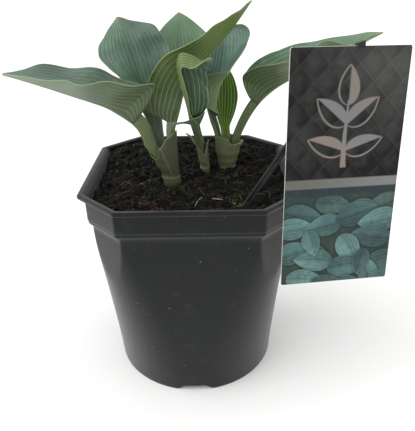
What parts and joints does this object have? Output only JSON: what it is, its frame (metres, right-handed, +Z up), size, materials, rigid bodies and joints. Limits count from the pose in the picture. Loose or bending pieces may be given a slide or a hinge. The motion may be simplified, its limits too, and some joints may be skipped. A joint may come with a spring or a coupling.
{
  "type": "potted hosta plant",
  "caption": "Leafy perennial with broad ribbed leaves on channelled stalks, standing in soil in a square-topped round-based nursery pot, with a blank label card on a slanting stake.",
  "frame": {"origin": "middle of the pot's base, on the surface that it stands on", "axes": "+Z up, -Y towards the front, where the label card hangs over the pot's front right corner, +X to the right"},
  "size_m": [0.2282, 0.14, 0.2553],
  "materials": {
    "leaf": "waxy, satin, ribbed",
    "young_leaf": "smooth, satin, ribbed",
    "shoot": "smooth, satin",
    "soil": "loose crumbs and fibres, matt",
    "pot_plastic": "moulded, satin",
    "stake_plastic": "moulded, satin",
    "label_print": "printed, satin"
  },
  "bodies": {
    "root": {"leaf_long_left": "leaf", "leaf_broad_left": "leaf", "leaf_back": "leaf", "leaf_tall_centre": "leaf", "leaf_hooded": "leaf", "leaf_cupped": "leaf", "leaf_young": "young_leaf", "leaf_long_right": "leaf", "shoot_left": "shoot", "shoot_middle": "shoot", "shoot_right": "shoot", "soil": "soil", "pot": "pot_plastic", "label_stake": "stake_plastic", "label_card": "label_print"}
  },
  "joints": []
}
